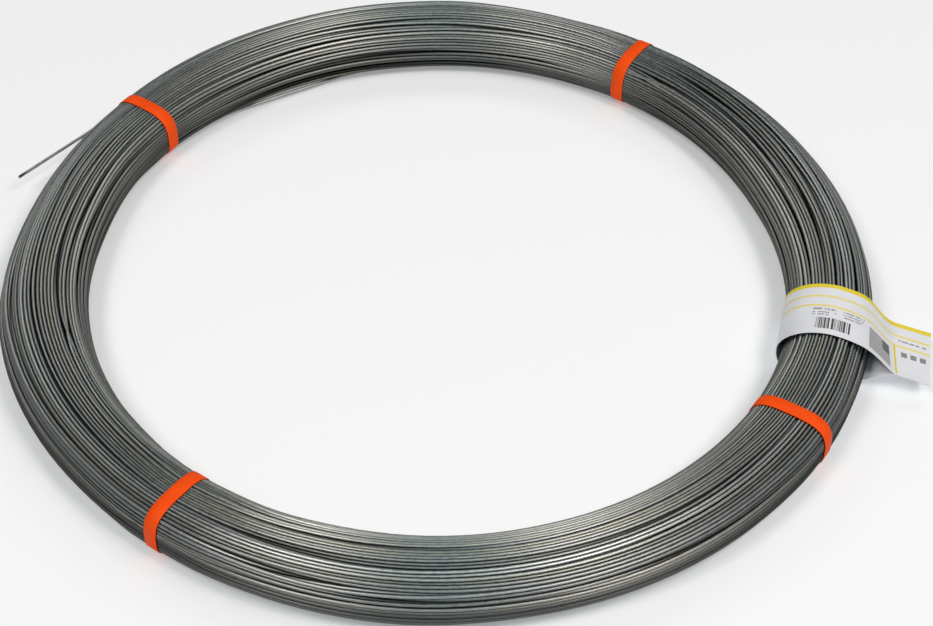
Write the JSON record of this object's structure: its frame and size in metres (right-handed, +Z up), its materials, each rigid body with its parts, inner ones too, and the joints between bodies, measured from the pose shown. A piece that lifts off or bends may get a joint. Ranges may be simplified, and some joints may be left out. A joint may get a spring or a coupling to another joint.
{
  "type": "coil of steel fence wire",
  "caption": "Flat-lying round coil of drawn galvanised steel wire, tied with flat plastic straps and carrying a folded paper label.",
  "frame": {"origin": "on the coil's axis, in the plane of the floor that it lies on", "axes": "+Z up along the coil's axis, +X towards the label's side, -Y towards the viewer"},
  "size_m": [0.5245, 0.4874, 0.0363],
  "materials": {
    "wire": "dull zinc coat",
    "strap": "satin",
    "label": "smooth printed"
  },
  "bodies": {
    "root": {"wire_coil": "wire", "strap_rear_left": "strap", "strap_rear_right": "strap", "strap_front_right": "strap", "strap_front_left": "strap", "label": "label"}
  },
  "joints": []
}
